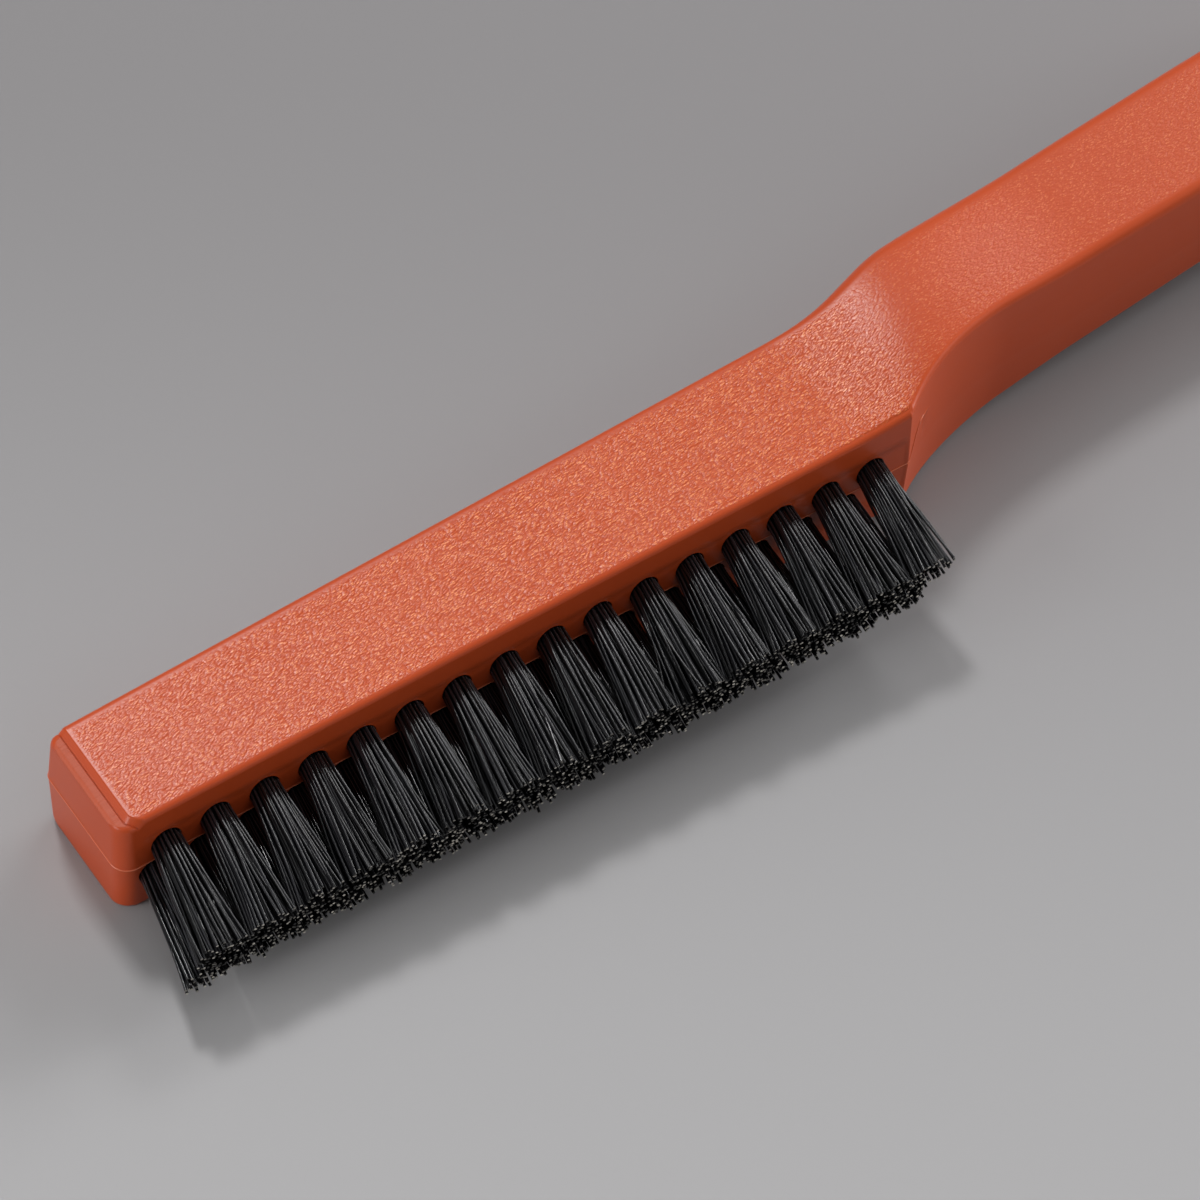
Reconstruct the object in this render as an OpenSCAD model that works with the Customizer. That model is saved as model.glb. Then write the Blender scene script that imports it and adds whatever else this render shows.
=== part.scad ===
// Grout brush: a moulded head and handle in one piece, and two rows of tufts.
// Each tuft is folded round a flat wire anchor and driven into its own blind hole.
// Lengths are in millimetres. X runs from the tip of the head to the end of the handle,
// the bristles point towards -Y, and Z is across the two broad faces.

/* [Brush] */
// Whole length, from the tip of the head to the end of the handle
brush_l = 196; // [190:1:206]
// How far the tufts stand out of the bristle face
trim_l = 13.3; // [10:0.1:16]
// How much the upright sides draw in from the parting line to each broad face
draft = 0.3; // [0.1:0.05:0.4]

/* [Head] */
// Length of the head, from its tip to the corner of the neck
head_l = 92.3; // [91:0.1:95]
// Depth of the head at its tip, from the bristle face to the back
tip_depth = 13.4; // [12.5:0.1:15]
// Angle at which the back opens out towards the neck
back_a = 1.5; // [0.5:0.1:2.5]
// Thickness of the head at its tip
tip_t = 13; // [12:0.1:14]
// Thickness of the head where the shoulder begins to rise
root_t = 14; // [13:0.1:15]
// Radius of the head's long edges
head_edge_r = 0.9; // [0.5:0.1:1.4]
// Radius of the two upright corners at the tip
tip_corner_r = 1.3; // [0.8:0.1:2]
// Drop from each broad face to the smooth ledge at the tip
ledge_drop = 0.55; // [0.2:0.05:0.7]
// Width of that ledge, from the tip to the lip of the broad face
ledge_w = 1.2; // [0.6:0.05:1.4]

/* [Neck] */
// Thickness at the crest of the shoulder
crest_t = 17.3; // [16:0.1:19]
// Distance from the corner of the neck to that crest
crest_gap = 6.2; // [5:0.1:8]
// Length over which the shoulder rises from the head
rise_l = 12.5; // [10:0.5:15]
// Length over which the shoulder falls away into the handle
fall_l = 23.5; // [18:0.5:28]
// Radius of the finger curve behind the bristles
finger_r = 32; // [29:0.5:36]
// Angle at which the finger curve leaves the bristle face
finger_a = 38; // [35:0.5:41]

/* [Handle] */
// Width of the handle where the finger curve ends
grip_w = 12.9; // [12:0.1:14]
// Angle between the handle's bristle side and the bristle face
near_a = 4.7; // [3:0.1:6]
// Angle between the handle's back and the bristle face
far_a = 6.1; // [5:0.1:7]
// Thickness of the handle behind the shoulder
grip_t = 14; // [13:0.1:15]
// Thickness of the flat end
end_t = 12; // [11:0.1:13]
// Length of that flat end
end_flat_l = 24; // [20:1:30]
// Radius of the handle's long edges
grip_edge_r = 1.6; // [1:0.1:2.2]
// Length of the rounding at the end, seen from above
end_round = 7.5; // [6:0.1:9]
// Diameter of the hanging hole
hang_d = 6; // [4:0.5:7]
// Distance from the end of the handle to the middle of that hole
hang_in = 9; // [8:0.5:12]
// Chamfer round both mouths of that hole
hang_chamfer = 0.5; // [0.2:0.1:0.8]

/* [Tufts] */
// Tufts in each of the two rows
tufts = 16; // [14:1:16]
// Distance from the tip to the middle of the first tuft of the upper row
first_in = 5.05; // [5:0.05:6]
// Distance from the corner of the neck to the middle of the last tuft of that row
last_in = 4.75; // [4.2:0.05:6]
// Distance between the two rows
row_gap = 3.45; // [3.45:0.05:4]
// How much nearer to the tip the lower row starts
tip_stagger = 1.45; // [1.4:0.05:1.6]
// How much nearer to the tip the lower row ends
neck_stagger = 3.15; // [2:0.05:3.3]
// Lean of the holes and tufts towards the tip
lean_a = 9; // [0:1:10]
// Diameter of a tuft hole
hole_d = 3.4; // [3:0.1:3.5]
// Depth of a tuft hole
hole_depth = 8.5; // [7:0.1:9]
// Strands modelled in each tuft
strands = 15; // [12:1:15]
// Spread of a tuft along the head, from its root to its trimmed end
spread_x = 1.7; // [1.3:0.05:1.75]
// Spread of a tuft across the head, from its root to its trimmed end
spread_z = 1.1; // [1:0.05:1.1]

/* [Anchors] */
// Length of a wire anchor, which bites into the wall at both sides of its hole
anchor_l = 4.3; // [3.8:0.1:4.6]
// Height of a wire anchor, along the hole
anchor_h = 1.6; // [1.2:0.1:2]
// Thickness of a wire anchor
anchor_t = 0.45; // [0.3:0.05:0.6]
// Bristle folded round the bottom of an anchor
fold_t = 0.6; // [0.4:0.1:0.8]

/* [Hidden] */
rows = ["upper", "lower"];
function two(i) = i < 10 ? str("0", i) : str(i);
function tuft_name(row, i) = str("tuft_", rows[row], "_", two(i + 1));

plastic_colour = [0.80, 0.35, 0.22];
bristle_colour = [0.07, 0.07, 0.08];
anchor_colour = [0.78, 0.70, 0.46];

// Plan of the finger curve, an arc that turns from finger_a to near_a
arc_x = head_l + finger_r * sin(finger_a);
arc_y = -finger_r * cos(finger_a);
grip_x = arc_x - finger_r * sin(near_a);
grip_y = arc_y + finger_r * cos(near_a);

// Stretch over which the back turns from the head's line to the handle's line
back_turn_x = head_l - 5.3;
back_turn_l = 15.5;

crest_x = head_l + crest_gap;
rise_x = crest_x - rise_l;
fall_x = crest_x + fall_l;
end_flat_x = brush_l - end_flat_l;
end_round_x = brush_l - end_round;

// Rounding of the tip's rim below the ledge, rise of the lip behind it, and stretch over
// which the draft of the end face fades out
rim_r = 0.4;
lip_l = 0.35;
end_draft_l = 6;

corner_steps = 4;
neck_steps = 24;
end_steps = 7;
end_turn_a = 84;

pitch = (head_l - first_in - last_in) / (tufts - 1);
row_z = [row_gap / 2, -row_gap / 2];
first_shift = [0, -tip_stagger];
last_shift = [0, -neck_stagger];

function smooth(u) = let (v = min(1, max(0, u))) v * v * (3 - 2 * v);
function blend(a, b, u) = a + (b - a) * smooth(u);
function quarter_inset(r, d) = d < r ? r - sqrt(r * r - (r - d) * (r - d)) : 0;

// Half of the thickness at x, on the broad faces
function half_t(x) =
    x < rise_x ? (tip_t + (root_t - tip_t) * x / rise_x) / 2
    : x < crest_x ? blend(root_t, crest_t, (x - rise_x) / rise_l) / 2
    : x < fall_x ? blend(crest_t, grip_t, (x - crest_x) / fall_l) / 2
    : x < end_flat_x ? (grip_t + (end_t - grip_t) * (x - fall_x) / (end_flat_x - fall_x)) / 2
    : end_t / 2;

// Drop of the rim, ledge and lip at the tip, and of the rounded end of the handle
function face_inset(x) =
    ledge_drop * (1 - smooth((x - ledge_w) / lip_l))
    + quarter_inset(rim_r, x)
    + quarter_inset(grip_edge_r, brush_l - x);

// Plan outlines of the side that carries the bristles and of the back
function near_line(x) =
    x < head_l ? 0
    : x < grip_x ? arc_y + sqrt(finger_r * finger_r - (x - arc_x) * (x - arc_x))
    : grip_y + (x - grip_x) * tan(near_a);
function far_line(x) = blend(
    tip_depth + x * tan(back_a),
    grip_y + grip_w + (x - grip_x) * tan(far_a),
    (x - back_turn_x) / back_turn_l);
function end_scale(x) =
    x < end_round_x ? 1 : sqrt(max(0, 1 - pow((x - end_round_x) / end_round, 2)));
function plan_inset(x, w) =
    quarter_inset(tip_corner_r, x) + (1 - max(cos(end_turn_a), end_scale(x))) * w / 2;

function edge_r(x) = blend(head_edge_r, grip_edge_r, (x - rise_x) / rise_l);

// How far the end face draws in at x, from the parting line to height z
function end_draw(x, z) = draft * (1 - smooth(x / end_draft_l)) * abs(z) / half_t(x);

// One corner of a section: an arc from angle a0 through a quarter turn
function corner(y, z, r, a0) = [
    for (i = [0 : corner_steps]) let (a = a0 - 90 * i / corner_steps)
        [y + r * cos(a), z + r * sin(a)]];

// The whole section at x, from the parting line over the upper face and back below
function section(x) =
    let (
        w = far_line(x) - near_line(x),
        inset = plan_inset(x, w),
        near = near_line(x) + inset,
        far = far_line(x) - inset,
        draw = min(draft, 0.05 * (far - near)),
        h = half_t(x) - face_inset(x),
        r = min(edge_r(x), 0.4 * (far - near)))
    concat(
        [[near - draw, 0]],
        corner(near + r, h - r, r, 180),
        corner(far - draw - r, h - r, r, 90),
        [[far, 0]],
        corner(far - draw - r, r - h, r, 0),
        corner(near + r, r - h, r, -90));

stations = concat(
    [0, 0.1, 0.25, 0.5, ledge_w, ledge_w + 0.3 * lip_l, ledge_w + 0.7 * lip_l, ledge_w + lip_l],
    [rise_x, rise_x + 2, rise_x + 4],
    [for (i = [0 : neck_steps]) head_l + (fall_x - head_l) * i / neck_steps],
    [(fall_x + end_flat_x) / 2, end_flat_x],
    [for (i = [0 : end_steps]) end_round_x + end_round * sin(end_turn_a * i / end_steps)],
    [brush_l]);

// Solid skinned over the sections, one ring of points at each station
module moulded_body() {
    rings = [for (x = stations) [for (p = section(x)) [x + end_draw(x, p[1]), p[0], p[1]]]];
    n = len(rings[0]);
    last = len(rings) - 1;
    // The end faces fold at the parting line, so each is two faces that share that line
    polyhedron(
        points = [for (ring = rings, p = ring) p],
        faces = concat(
            [for (start = [0, n / 2]) [for (i = [n / 2 : -1 : 0]) (start + i) % n]],
            [for (s = [0 : last - 1], i = [0 : n - 1], half = [0, 1])
                let (a = s * n + i, b = s * n + (i + 1) % n)
                half == 0 ? [a, b, b + n] : [a, b + n, a + n]],
            [for (start = [0, n / 2]) [for (i = [0 : n / 2]) last * n + (start + i) % n]]),
        convexity = 6);
}

function tuft_x(row, i) =
    first_in + i * pitch
    + first_shift[row] + (last_shift[row] - first_shift[row]) * i / (tufts - 1);

// Moves what is drawn along +Y from the origin into the tuft hole of that row and place
module at_hole(row, i) {
    translate([tuft_x(row, i), 0, row_z[row]])
        rotate([0, 0, -lean_a])
            children();
}

module along_hole(from, to, r, sides) {
    translate([0, from, 0])
        rotate([-90, 0, 0])
            cylinder(h = to - from, r = r, $fn = sides);
}

module anchor_plate() {
    translate([-anchor_l / 2, hole_depth - fold_t - anchor_h, -anchor_t / 2])
        cube([anchor_l, anchor_h, anchor_t]);
}

module tuft_holes() {
    mouth_clear = 1;
    for (row = [0, 1], i = [0 : tufts - 1])
        at_hole(row, i) {
            along_hole(-mouth_clear, hole_depth, hole_d / 2, 48);
            anchor_plate();
        }
}

// Hanging hole, square to the flat end, with a chamfer at both mouths
module hang_hole() {
    hang_x = brush_l - hang_in;
    hang_y = (near_line(hang_x) + far_line(hang_x)) / 2;
    wide_r = hang_d / 2 + hang_chamfer;
    clear = 0.5;
    translate([hang_x, hang_y, 0]) {
        cylinder(h = end_t + 2 * clear, d = hang_d, center = true, $fn = 64);
        for (side = [0, 1])
            mirror([0, 0, side])
                translate([0, 0, end_t / 2 - hang_chamfer])
                    cylinder(
                        h = hang_chamfer + clear, r1 = hang_d / 2,
                        r2 = wide_r + clear, $fn = 64);
    }
}

// Head, neck and handle, moulded in one piece
module handle() {
    color(plastic_colour)
        difference() {
            moulded_body();
            tuft_holes();
            hang_hole();
        }
}

// Wire anchors of one row
module anchors(row) {
    color(anchor_colour)
        for (i = [0 : tufts - 1])
            at_hole(row, i) anchor_plate();
}

inner_strands = 5;
outer_strands = strands - inner_strands;
strand_r = 0.3;
inner_ring_r = 0.56;
outer_ring_r = hole_d / 2 - strand_r - 0.2;
jitter = 0.06;
plug_gap = 0.05;
plug_in = 1;
strand_in = 1.4;

// Place of strand k in the round bundle at the root
function bundle_place(k) =
    k < inner_strands
    ? inner_ring_r * [cos(360 * k / inner_strands), sin(360 * k / inner_strands)]
    : let (a = 360 * (k - inner_strands + 0.5) / outer_strands)
        outer_ring_r * [cos(a), sin(a)];

// The three corners of strand k, one of them pointing out of the bundle
function strand_corners(k) =
    let (place = bundle_place(k), turn = atan2(place[1], place[0]))
    [for (a = [0, 120, 240]) strand_r * [cos(turn + a), 0, sin(turn + a)]];

// Trimmed ends of the strands of one tuft, each a little out of its place
function strand_tips(row, i) =
    let (loose = rands(-jitter, jitter, 2 * strands, 100 * row + i + 1))
    [for (k = [0 : strands - 1]) let (place = bundle_place(k)) [
        tuft_x(row, i) - trim_l * tan(lean_a) + place[0] * spread_x + loose[2 * k],
        -trim_l,
        row_z[row] + place[1] * spread_z + loose[2 * k + 1]]];

// A strand of three sides, from a point inside the hole to the flat trimmed end
module strand(root, tip, ring) {
    polyhedron(
        points = concat([for (p = ring) root + p], [for (p = ring) tip + p]),
        faces = [
            [0, 1, 2], [5, 4, 3],
            [0, 3, 4], [0, 4, 1], [1, 4, 5], [1, 5, 2], [2, 5, 3], [2, 3, 0]]);
}

// One tuft: the folded root that fills its hole, and the strands that stand out of it
module tuft(row, i) {
    root = [tuft_x(row, i), 0, row_z[row]] + strand_in * [sin(lean_a), cos(lean_a), 0];
    tips = strand_tips(row, i);
    color(bristle_colour)
        union() {
            difference() {
                at_hole(row, i) along_hole(plug_in, hole_depth, hole_d / 2 - plug_gap, 12);
                at_hole(row, i) anchor_plate();
            }
            for (k = [0 : strands - 1]) {
                place = bundle_place(k);
                strand(root + [place[0], 0, place[1]], tips[k], strand_corners(k));
            }
        }
}

// Origin in the middle of the brush's footprint, at the level of its lowest point. The first
// tuft of the lower row reaches a little past the tip of the head.
back_y = max([for (x = stations) far_line(x) - plan_inset(x, far_line(x) - near_line(x))]);
first_tips = strand_tips(1, 0);
front_x = min([for (k = [0 : strands - 1], p = strand_corners(k)) first_tips[k][0] + p[0]]);
module placed() {
    translate([-(brush_l + front_x) / 2, (trim_l - back_y) / 2, crest_t / 2]) children();
}

placed() handle();
placed() anchors(0);  // anchors_upper
placed() anchors(1);  // anchors_lower
for (row = [0, 1], i = [0 : tufts - 1])
    placed() tuft(row, i);
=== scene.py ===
# %% [markdown]
# Grout brush, dressed for its picture.
# The real brush is one piece of terracotta plastic with two rows of black tufts. The packed
# model gives the frame: a moulded handle, a node for each tuft and two nodes of wire anchors.
# Everything here is in metres and in the frame of that model, with X from the tip of the head
# to the end of the handle, the bristles towards -Y and Z across the two broad faces.

# %% Load the frame
import math
import random

import bmesh
import bpy
from mathutils import Matrix, Vector


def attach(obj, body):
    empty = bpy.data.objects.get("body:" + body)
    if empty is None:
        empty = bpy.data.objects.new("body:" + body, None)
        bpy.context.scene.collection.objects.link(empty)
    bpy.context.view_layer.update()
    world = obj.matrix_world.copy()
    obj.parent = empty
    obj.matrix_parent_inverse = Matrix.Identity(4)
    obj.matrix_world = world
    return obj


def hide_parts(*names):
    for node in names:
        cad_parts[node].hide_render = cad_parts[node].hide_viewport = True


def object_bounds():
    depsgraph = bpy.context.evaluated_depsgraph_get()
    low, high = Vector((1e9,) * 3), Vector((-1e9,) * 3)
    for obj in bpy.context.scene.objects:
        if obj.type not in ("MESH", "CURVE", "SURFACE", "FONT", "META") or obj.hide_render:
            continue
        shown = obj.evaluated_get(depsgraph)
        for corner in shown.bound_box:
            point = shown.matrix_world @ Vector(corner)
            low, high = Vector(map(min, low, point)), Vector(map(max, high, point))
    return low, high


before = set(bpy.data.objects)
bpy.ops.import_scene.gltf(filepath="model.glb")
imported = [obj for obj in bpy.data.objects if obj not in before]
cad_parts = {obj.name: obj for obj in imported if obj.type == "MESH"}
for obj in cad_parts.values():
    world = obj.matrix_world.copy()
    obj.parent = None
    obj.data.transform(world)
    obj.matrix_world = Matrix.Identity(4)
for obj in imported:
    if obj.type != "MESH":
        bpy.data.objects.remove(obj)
cad_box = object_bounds()
MM = 0.001
print("nodes in the frame:", len(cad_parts))

# %% [markdown]
# The sizes below are those of the solid model, so that the dressed pieces lie on it. They
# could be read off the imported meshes, but a few named sizes and formulas are easier to
# follow, and they let the dressed handle be much finer than the solid one.

# %% Driving sizes of the solid model
brush_l = 196 * MM
trim_l = 13.3 * MM
draft = 0.3 * MM
end_draft_l = 6 * MM

head_l = 92.3 * MM
tip_depth = 13.4 * MM
back_slope = math.tan(math.radians(1.5))
tip_t = 13 * MM
root_t = 14 * MM
head_edge_r = 0.9 * MM
ledge_drop = 0.55 * MM
ledge_w = 1.2 * MM
rim_r = 0.4 * MM

crest_t = 17.3 * MM
crest_x = head_l + 6.2 * MM
rise_l = 12.5 * MM
rise_x = crest_x - rise_l
fall_x = crest_x + 23.5 * MM
finger_r = 32 * MM
finger_a = math.radians(38)
near_a = math.radians(4.7)
far_slope = math.tan(math.radians(6.1))
grip_w = 12.9 * MM
grip_t = 14 * MM
end_t = 12 * MM
end_flat_x = brush_l - 24 * MM
grip_edge_r = 1.6 * MM
end_round = 7.5 * MM
end_round_x = brush_l - end_round
end_turn_a = math.radians(84)
hang_r = 3 * MM
hang_in = 9 * MM
hang_chamfer = 0.5 * MM

tufts_in_row = 16
first_in = (5.05 * MM, 3.6 * MM)
last_in = (87.55 * MM, 84.4 * MM)
row_z = (1.725 * MM, -1.725 * MM)
lean = math.radians(9)
hole_r = 1.7 * MM
hole_depth = 8.5 * MM
anchor_top = 6.3 * MM

# Where the picture shows a little more than the solid model has
far_grow_head = 0.62 * MM
far_grow_grip = 0.95 * MM
near_grow_grip = 0.5 * MM
thick_grow_grip = 0.6 * MM
grow_turn_l = 14 * MM
grow_stop_x = brush_l - 55 * MM
grow_stop_l = 43 * MM
low_grow_tip = 0.25 * MM
low_grow_l = 45 * MM
swell_top_x = crest_x + 1.2 * MM
swell_l = 14.2 * MM
swell_power = 0.86
crown_h = 0.5 * MM
crown_l = 8 * MM
crown_fade = 0.7
crown_fade_l = 30 * MM
far_corner_r = 1.0 * MM
near_corner_r = 1.9 * MM
tip_skew = 0.028
tip_skew_l = 20 * MM

arc_x = head_l + finger_r * math.sin(finger_a)
arc_y = -finger_r * math.cos(finger_a)
grip_x = arc_x - finger_r * math.sin(near_a)
grip_y = arc_y + finger_r * math.cos(near_a)
back_turn_x = head_l - 5.3 * MM
back_turn_l = 15.5 * MM

# The drawing frame has its zero at the tip, on the bristle face and the parting plane
origin = Vector((cad_box[1].x - brush_l, cad_box[0].y + trim_l, crest_t / 2))
print("drawing zero in mm:", [round(v / MM, 3) for v in origin])

# %% [markdown]
# The camera stands where the photograph was taken from, found from the brush's own edges.
# It is a long lens close to the object, about 0.59 m away. A shorter lens would spread the
# rows of tufts apart, so both the lens and the distance have to match.

# %% Camera
camera_at = Vector((-163.575, -280.971, 465.122)) * MM + origin
camera_look = Vector((0.374752, 0.482168, -0.791880))
camera_up = Vector((0.430582, 0.665907, 0.609235))
lens_mm = 180
sensor_mm = 36


def add_camera():
    data = bpy.data.cameras.new("photo_camera")
    data.lens = lens_mm
    data.sensor_width = sensor_mm
    data.sensor_fit = "HORIZONTAL"
    data.clip_start = 0.01
    data.clip_end = 20
    camera = bpy.data.objects.new("photo_camera", data)
    back = -camera_look.normalized()
    right = camera_up.cross(back).normalized()
    turn = Matrix((right, back.cross(right), back)).transposed()
    camera.matrix_world = Matrix.Translation(camera_at) @ turn.to_4x4()
    bpy.context.scene.collection.objects.link(camera)
    bpy.context.scene.camera = camera
    return camera


camera = add_camera()
print("camera distance in m:", round((camera_at - origin).length, 3))

# %% [markdown]
# The brush lies on two places: the lower edge of its tip and the crest of its shoulder. The
# model keeps its axes square to the parting plane, so the floor takes the slope instead.

# %% Floor
rest_tip_x = ledge_w
rest_tip_z = crest_t / 2 - tip_t / 2 - low_grow_tip
floor_pitch = math.atan2(rest_tip_z, crest_x - rest_tip_x)
floor_size = 6.0


def add_floor():
    data = bpy.data.meshes.new("floor")
    half = floor_size / 2
    corners = [(-half, -half, 0), (half, -half, 0), (half, half, 0), (-half, half, 0)]
    data.from_pydata(corners, [], [(0, 1, 2, 3)])
    floor = bpy.data.objects.new("floor", data)
    floor.location = (origin.x + crest_x, 0, 0)
    floor.rotation_euler = (0, floor_pitch, 0)
    bpy.context.scene.collection.objects.link(floor)
    return floor


floor = add_floor()
print("floor slope in degrees:", round(math.degrees(floor_pitch), 2))

# %% [markdown]
# The handle's outline in plan and its thickness are the formulas of the solid model, with the
# small extra sizes named above. The thickness swells smoothly at the shoulder, and the plan
# turns through a finger curve.

# %% Outline of the handle


def smooth(u):
    v = min(1.0, max(0.0, u))
    return v * v * (3 - 2 * v)


def blend(a, b, u):
    return a + (b - a) * smooth(u)


def quarter_inset(r, d):
    return r - math.sqrt(max(0.0, r * r - (r - d) ** 2)) if d < r else 0.0


def grow(x, head, grip):
    """Extra size on the head and on the grip, gone before the handle's end."""
    size = blend(head, grip, (x - head_l) / grow_turn_l)
    return size * (1 - smooth((x - grow_stop_x) / grow_stop_l))


def half_t(x):
    start_x = swell_top_x - swell_l
    if x < start_x:
        return (tip_t + (root_t - tip_t) * x / start_x) / 2
    if x < swell_top_x:
        return blend(root_t, crest_t, ((x - start_x) / swell_l) ** swell_power) / 2
    if x < fall_x:
        low_t = grip_t + grow(fall_x, 0, thick_grow_grip)
        return blend(crest_t, low_t, (x - swell_top_x) / (fall_x - swell_top_x)) / 2
    if x < end_flat_x:
        along = (x - fall_x) / (end_flat_x - fall_x)
        return (grip_t + (end_t - grip_t) * along + grow(x, 0, thick_grow_grip)) / 2
    return end_t / 2


def near_line(x):
    if x <= head_l:
        return 0.0
    out = grow(x, 0.0, near_grow_grip)
    if x < grip_x:
        return arc_y + math.sqrt(finger_r ** 2 - (x - arc_x) ** 2) - out
    return grip_y + (x - grip_x) * math.tan(near_a) - out


def far_line(x):
    return grow(x, far_grow_head, far_grow_grip) + blend(
        tip_depth + x * back_slope,
        grip_y + grip_w + (x - grip_x) * far_slope,
        (x - back_turn_x) / back_turn_l)


def end_inset(x):
    """How far both sides draw in at the rounded end of the handle."""
    if x <= end_round_x:
        return 0.0
    scale = math.sqrt(max(0.0, 1 - ((x - end_round_x) / end_round) ** 2))
    return (1 - max(math.cos(end_turn_a), scale)) * (far_line(x) - near_line(x)) / 2


def crown_drop(x, y):
    """The faces of the swelling are a little crowned across, and those of the head are flat."""
    height = crown_h * smooth((x - rise_x) / crown_l)
    height *= 1 - crown_fade * smooth((x - crest_x) / crown_fade_l)
    middle = (near_line(x) + far_line(x)) / 2
    return height * ((y - middle) / (far_line(x) - middle)) ** 2


print("shoulder thickness in mm:", round(2 * half_t(crest_x) / MM, 2))

# %% [markdown]
# Each broad face is a grained pad, a little higher than what surrounds it. At the tip a smooth
# ledge lies in front of it, and cuts off the pad's corner on the bristle side. Along the
# bristle side the pad ends in a low lip above the rounded edge, which deepens at the neck.
# These heights could be sculpted, but as formulas they stay crisp and the same on both faces.

# %% Pad, ledge and lip of a broad face
lip_l = 0.62 * MM
ledge_slant = 0.16 * MM
low_ledge_drop = 0.12 * MM
foot_groove = 0.12 * MM
foot_groove_w = 0.12 * MM
pad_cut = 1.0 * MM
pad_far_cut = 0.35 * MM
pad_soft = 0.08 * MM
near_edge_r = 0.6 * MM
near_grip_r = 1.1 * MM
low_rim_r = 0.15 * MM
near_edge_grow = 42 * MM
side_lip_l = 0.28 * MM
neck_drop = 0.12 * MM
neck_drop_l = 13 * MM
neck_stop_l = 0.5 * MM


def soft_min(values):
    least = min(values)
    return least - pad_soft * math.log(sum(math.exp((least - v) / pad_soft) for v in values))


def past_ledge(x, y, lower):
    """Distance from the foot of the lip at the tip, less than 0 on the ledge."""
    straight = x - ledge_w
    if lower:
        return straight
    near_cut = (straight + (y - near_line(x)) - pad_cut) / math.sqrt(2)
    far_cut = (straight + (far_line(x) - y) - pad_far_cut) / math.sqrt(2)
    return soft_min((straight, near_cut, far_cut))


def lip_drop(x):
    """Height of the lip along the bristle side."""
    deepening = neck_drop * smooth((x - head_l + neck_drop_l) / neck_drop_l)
    return deepening * (1 - smooth((x - head_l) / neck_stop_l))


def face_drop(x, y, lip_y, lower):
    along_side = lip_drop(x) * (1 - smooth((y - lip_y) / side_lip_l))
    past = past_ledge(x, y, lower)
    at_tip = (low_ledge_drop if lower else ledge_drop) * (1 - smooth(past / lip_l))
    if not lower:
        at_tip += ledge_slant * max(0.0, 1 - x / ledge_w)
        at_tip += foot_groove * max(0.0, 1 - (past / foot_groove_w) ** 2) ** 2
    return crown_drop(x, y) + max(at_tip, along_side)


def near_radius(x):
    return blend(near_edge_r, near_grip_r, (x - head_l) / near_edge_grow)


def far_radius(x):
    return blend(head_edge_r, grip_edge_r, (x - rise_x) / rise_l)


print("pad's lip at the neck in mm:", round(lip_drop(head_l) / MM, 2))

# %% [markdown]
# The upright sides meet on the parting line, where the two halves of the mould close. It
# stands out as a hair of plastic on the end face, round the corner and over the neck. The
# bristle face also has a fine step just above the holes, from the mould's insert.

# %% Upright sides
flash_h = 0.07 * MM
flash_w = 0.08 * MM
flash_rise = 3.0 * MM
flash_rise_l = 2.8 * MM
flash_fade_l = 2 * MM
step_z = 3.5 * MM
step_h = 0.05 * MM
step_start_x = 2 * MM
step_start_l = 2 * MM
step_stop_x = head_l - 0.6 * MM
step_stop_l = 0.5 * MM
hair = 0.02 * MM


def side_levels(z_top, z_low, z_flash):
    """Heights of one side from its top edge to its bottom edge, both left out."""
    above = [z_top + (step_z - z_top) * k / 3 for k in (1, 2)]
    lowest = [-step_z - (z_low - step_z) * k / 3 for k in (1, 2)]
    inner = [z_flash + (step_z - z_flash) * k / 4 for k in (3, 2, 1)]
    ridge = [z_flash + flash_w, z_flash + hair, z_flash - hair, z_flash - flash_w]
    below = [-step_z * k / 4 for k in (1, 2, 3)]
    steps = [step_z + 2 * hair, step_z - 2 * hair]
    return above + steps + inner + ridge + below + [-z for z in reversed(steps)] + lowest


def side_points(x, y_top, y_mid, z_ends, outward, z_flash, flash, step, corner_r):
    """Points (x, y, z, ridge) of one side. outward is -1 on the bristle side and 1 on the back."""
    lean_in = max(0.0, 1 - x / corner_r)
    face_on = math.sqrt(1 - lean_in ** 2)
    out = []
    for z in side_levels(*z_ends, z_flash):
        y = y_mid + (y_top - y_mid) * min(1.0, abs(z) / z_ends[z < 0])
        if abs(z) < step_z:
            y -= outward * step
        ridge = flash if abs(z - z_flash) < 2 * hair else 0.0
        out.append((x - ridge * lean_in, y + outward * ridge * face_on, z, ridge / flash_h))
    return out


levels_on_side = len(side_levels(tip_t / 2, tip_t / 2, 0.0))
print("levels on a side:", levels_on_side)

# %% [markdown]
# The body is skinned over a ring of points at each station along X, as a mould maker would
# loft it. A subdivided block could get close, but only a loft keeps the sharp corner at the
# neck, the flat faces and the exact sizes. Each point also carries three masks, for the mould
# grain, for the parting ridge and for the tool marks on the ledge.

# %% Rings of the moulded body
tip_grain = 0.7
tip_grain_l = 40 * MM
grip_grain = 0.4
grip_grain_x = 90.5 * MM
grip_grain_l = 7 * MM
grain_start_l = 0.5 * MM
grain_end_l = 1.5 * MM
grain_near_l = 0.2 * MM
grain_far_in = 0.2 * MM
grain_far_l = 0.9 * MM
ticks_stop_x = ledge_w - 0.15 * MM
ticks_stop_l = 0.3 * MM
lip_in = 0.04 * MM
draw_share = 0.05
round_share = 0.4
corner_steps = 9
near_gaps = [0.06 * k for k in range(1, 19)] + [1.3, 1.6, 2.1, 3.0]
far_gaps = [3.0, 2.0, 1.4, 1.1, 0.8, 0.5, 0.25]
middle_steps = 6
end_steps = 20
crowded_w = 6.5 * MM


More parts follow.
